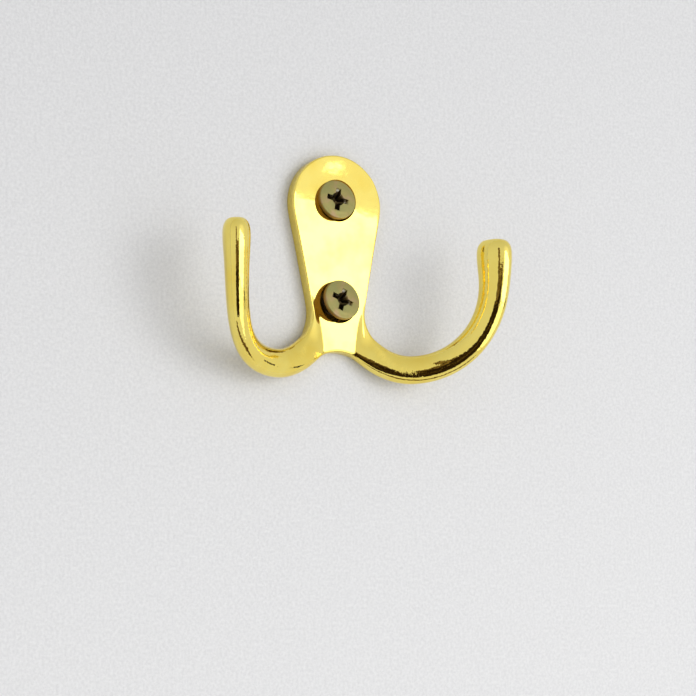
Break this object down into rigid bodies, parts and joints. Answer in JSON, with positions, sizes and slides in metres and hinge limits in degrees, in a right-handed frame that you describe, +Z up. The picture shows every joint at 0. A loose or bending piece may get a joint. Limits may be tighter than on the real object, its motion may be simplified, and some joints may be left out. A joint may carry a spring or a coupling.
{
  "type": "double robe hook with its two fixing screws",
  "caption": "Cast wall hook with a tear-shaped back plate, a pair of prongs that sweep out, forwards and up, and countersunk fixing screws.",
  "frame": {"origin": "on the flat back of the plate, midway between the two fixing holes", "axes": "+X to the right as seen from the front, +Y into the wall, +Z up"},
  "size_m": [0.0638, 0.0343, 0.0457],
  "materials": {
    "polished_brass": "polished brass plating on a zinc die casting",
    "passivated_steel": "olive yellow passivated steel"
  },
  "bodies": {
    "root": {"hook_casting": "polished_brass", "fixing_screws": "passivated_steel"}
  },
  "joints": []
}
